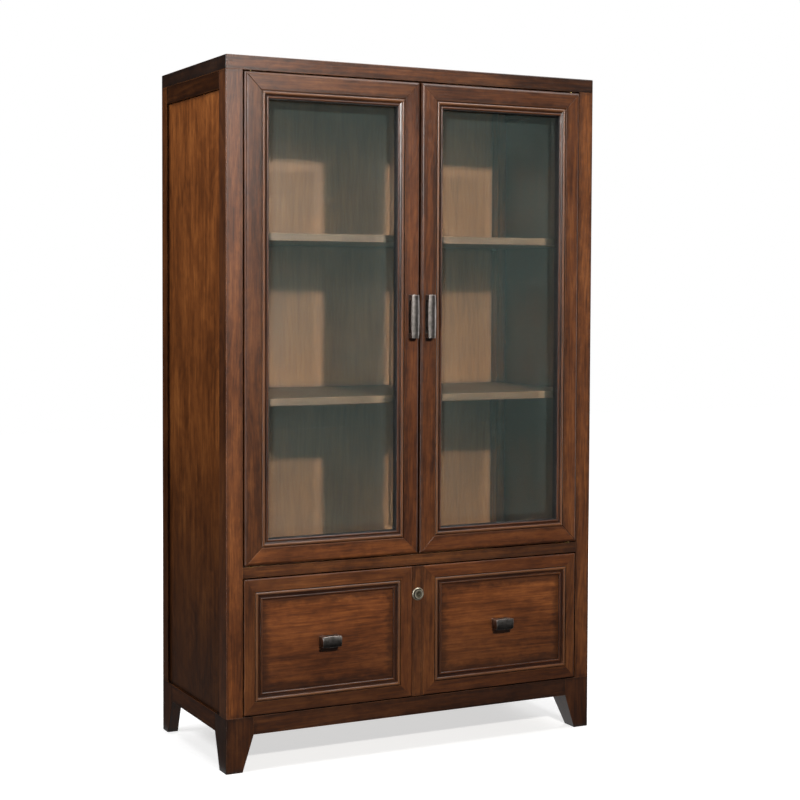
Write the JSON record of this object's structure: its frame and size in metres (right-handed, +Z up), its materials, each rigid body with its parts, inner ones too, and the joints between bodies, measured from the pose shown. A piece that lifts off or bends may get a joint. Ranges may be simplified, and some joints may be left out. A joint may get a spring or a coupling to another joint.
{
  "type": "glazed bookcase with file drawer",
  "caption": "Tall wooden office bookcase with a pair of glazed doors over adjustable shelves and a wide lockable file drawer below, on tapered feet.",
  "frame": {"origin": "middle of the footprint, on the floor", "axes": "+X along the front to the right, +Y to the back, +Z up"},
  "size_m": [1.016, 0.489, 1.694],
  "materials": {
    "case_wood": "satin red-brown cherry stain with darker streaks",
    "inner_wood": "satin veneer, a little plainer than the outside",
    "drawer_wood": "clear-lacquered pale ply",
    "door_glass": "clear plate with a bevelled rim",
    "glazing_rubber": "matt black",
    "pull_metal": "dark antique pewter, worn bright on the ridges",
    "hinge_brass": "brushed",
    "lock_brass": "antique nickel over brass",
    "catch_plastic": "moulded brown plastic round a magnet",
    "zinc_steel": "zinc plated"
  },
  "bodies": {
    "case": {"top_slab": "case_wood", "front_post_left": "case_wood", "front_post_right": "case_wood", "rear_post_left": "case_wood", "rear_post_right": "case_wood", "front_feet": "case_wood", "rear_feet": "case_wood", "side_top_rails": "case_wood", "side_bottom_rails": "case_wood", "side_panel_left": "case_wood", "side_panel_right": "case_wood", "mid_rail": "case_wood", "bottom_rail": "case_wood", "rear_bottom_rail": "case_wood", "back_panel": "inner_wood", "divider_panel": "inner_wood", "base_panel": "drawer_wood", "shelf_lower": "inner_wood", "shelf_upper": "inner_wood", "shelf_pins": "zinc_steel", "door_catches": "catch_plastic", "slide_outer_members": "zinc_steel", "case_hinge_leaves": "hinge_brass", "lock_keeper": "zinc_steel"},
    "left_door": {"left_door_hinge_stile": "case_wood", "left_door_meeting_stile": "case_wood", "left_door_top_rail": "case_wood", "left_door_bottom_rail": "case_wood", "left_door_hinge_leaves": "hinge_brass", "left_door_bead": "case_wood", "left_door_seal": "glazing_rubber", "left_door_glass": "door_glass", "left_door_pull": "pull_metal", "left_door_pull_screws": "zinc_steel"},
    "right_door": {"right_door_hinge_stile": "case_wood", "right_door_meeting_stile": "case_wood", "right_door_top_rail": "case_wood", "right_door_bottom_rail": "case_wood", "right_door_hinge_leaves": "hinge_brass", "right_door_bead": "case_wood", "right_door_seal": "glazing_rubber", "right_door_glass": "door_glass", "right_door_pull": "pull_metal", "right_door_pull_screws": "zinc_steel"},
    "drawer": {"drawer_front_frame_left": "case_wood", "drawer_front_frame_right": "case_wood", "drawer_front_panels": "case_wood", "drawer_front_beads": "case_wood", "drawer_front_centre_strip": "case_wood", "drawer_box_front": "drawer_wood", "drawer_box_sides": "drawer_wood", "drawer_box_back": "drawer_wood", "drawer_box_bottom": "drawer_wood", "file_rails": "zinc_steel", "drawer_pulls": "pull_metal", "drawer_pull_screws": "zinc_steel", "slide_inner_members": "zinc_steel", "lock_body": "lock_brass"},
    "slide_middle": {"slide_middle_members": "zinc_steel"},
    "lock_plug": {"lock_plug": "lock_brass"}
  },
  "joints": [
    {"name": "left_door_hinge", "type": "hinge", "parent": "case", "child": "left_door", "pos_m": [-0.444, -0.2075, 1.07], "axis": [0, 0, -1], "range_deg": [0, 110]},
    {"name": "right_door_hinge", "type": "hinge", "parent": "case", "child": "right_door", "pos_m": [0.444, -0.2075, 1.07], "axis": [0, 0, 1], "range_deg": [0, 110]},
    {"name": "drawer_slide", "type": "slide", "parent": "case", "child": "drawer", "axis": [0, -1, 0], "range_m": [0, 0.38]},
    {"name": "slide_middle_slide", "type": "slide", "parent": "case", "child": "slide_middle", "axis": [0, -1, 0], "range_m": [0, 0.19]},
    {"name": "lock_turn", "type": "hinge", "parent": "drawer", "child": "lock_plug", "pos_m": [0, -0.2145, 0.391], "axis": [0, -1, 0], "range_deg": [0, 90]}
  ],
  "couplings": [
    {"joint": "slide_middle_slide", "follows": "drawer_slide", "ratio": 0.5}
  ]
}
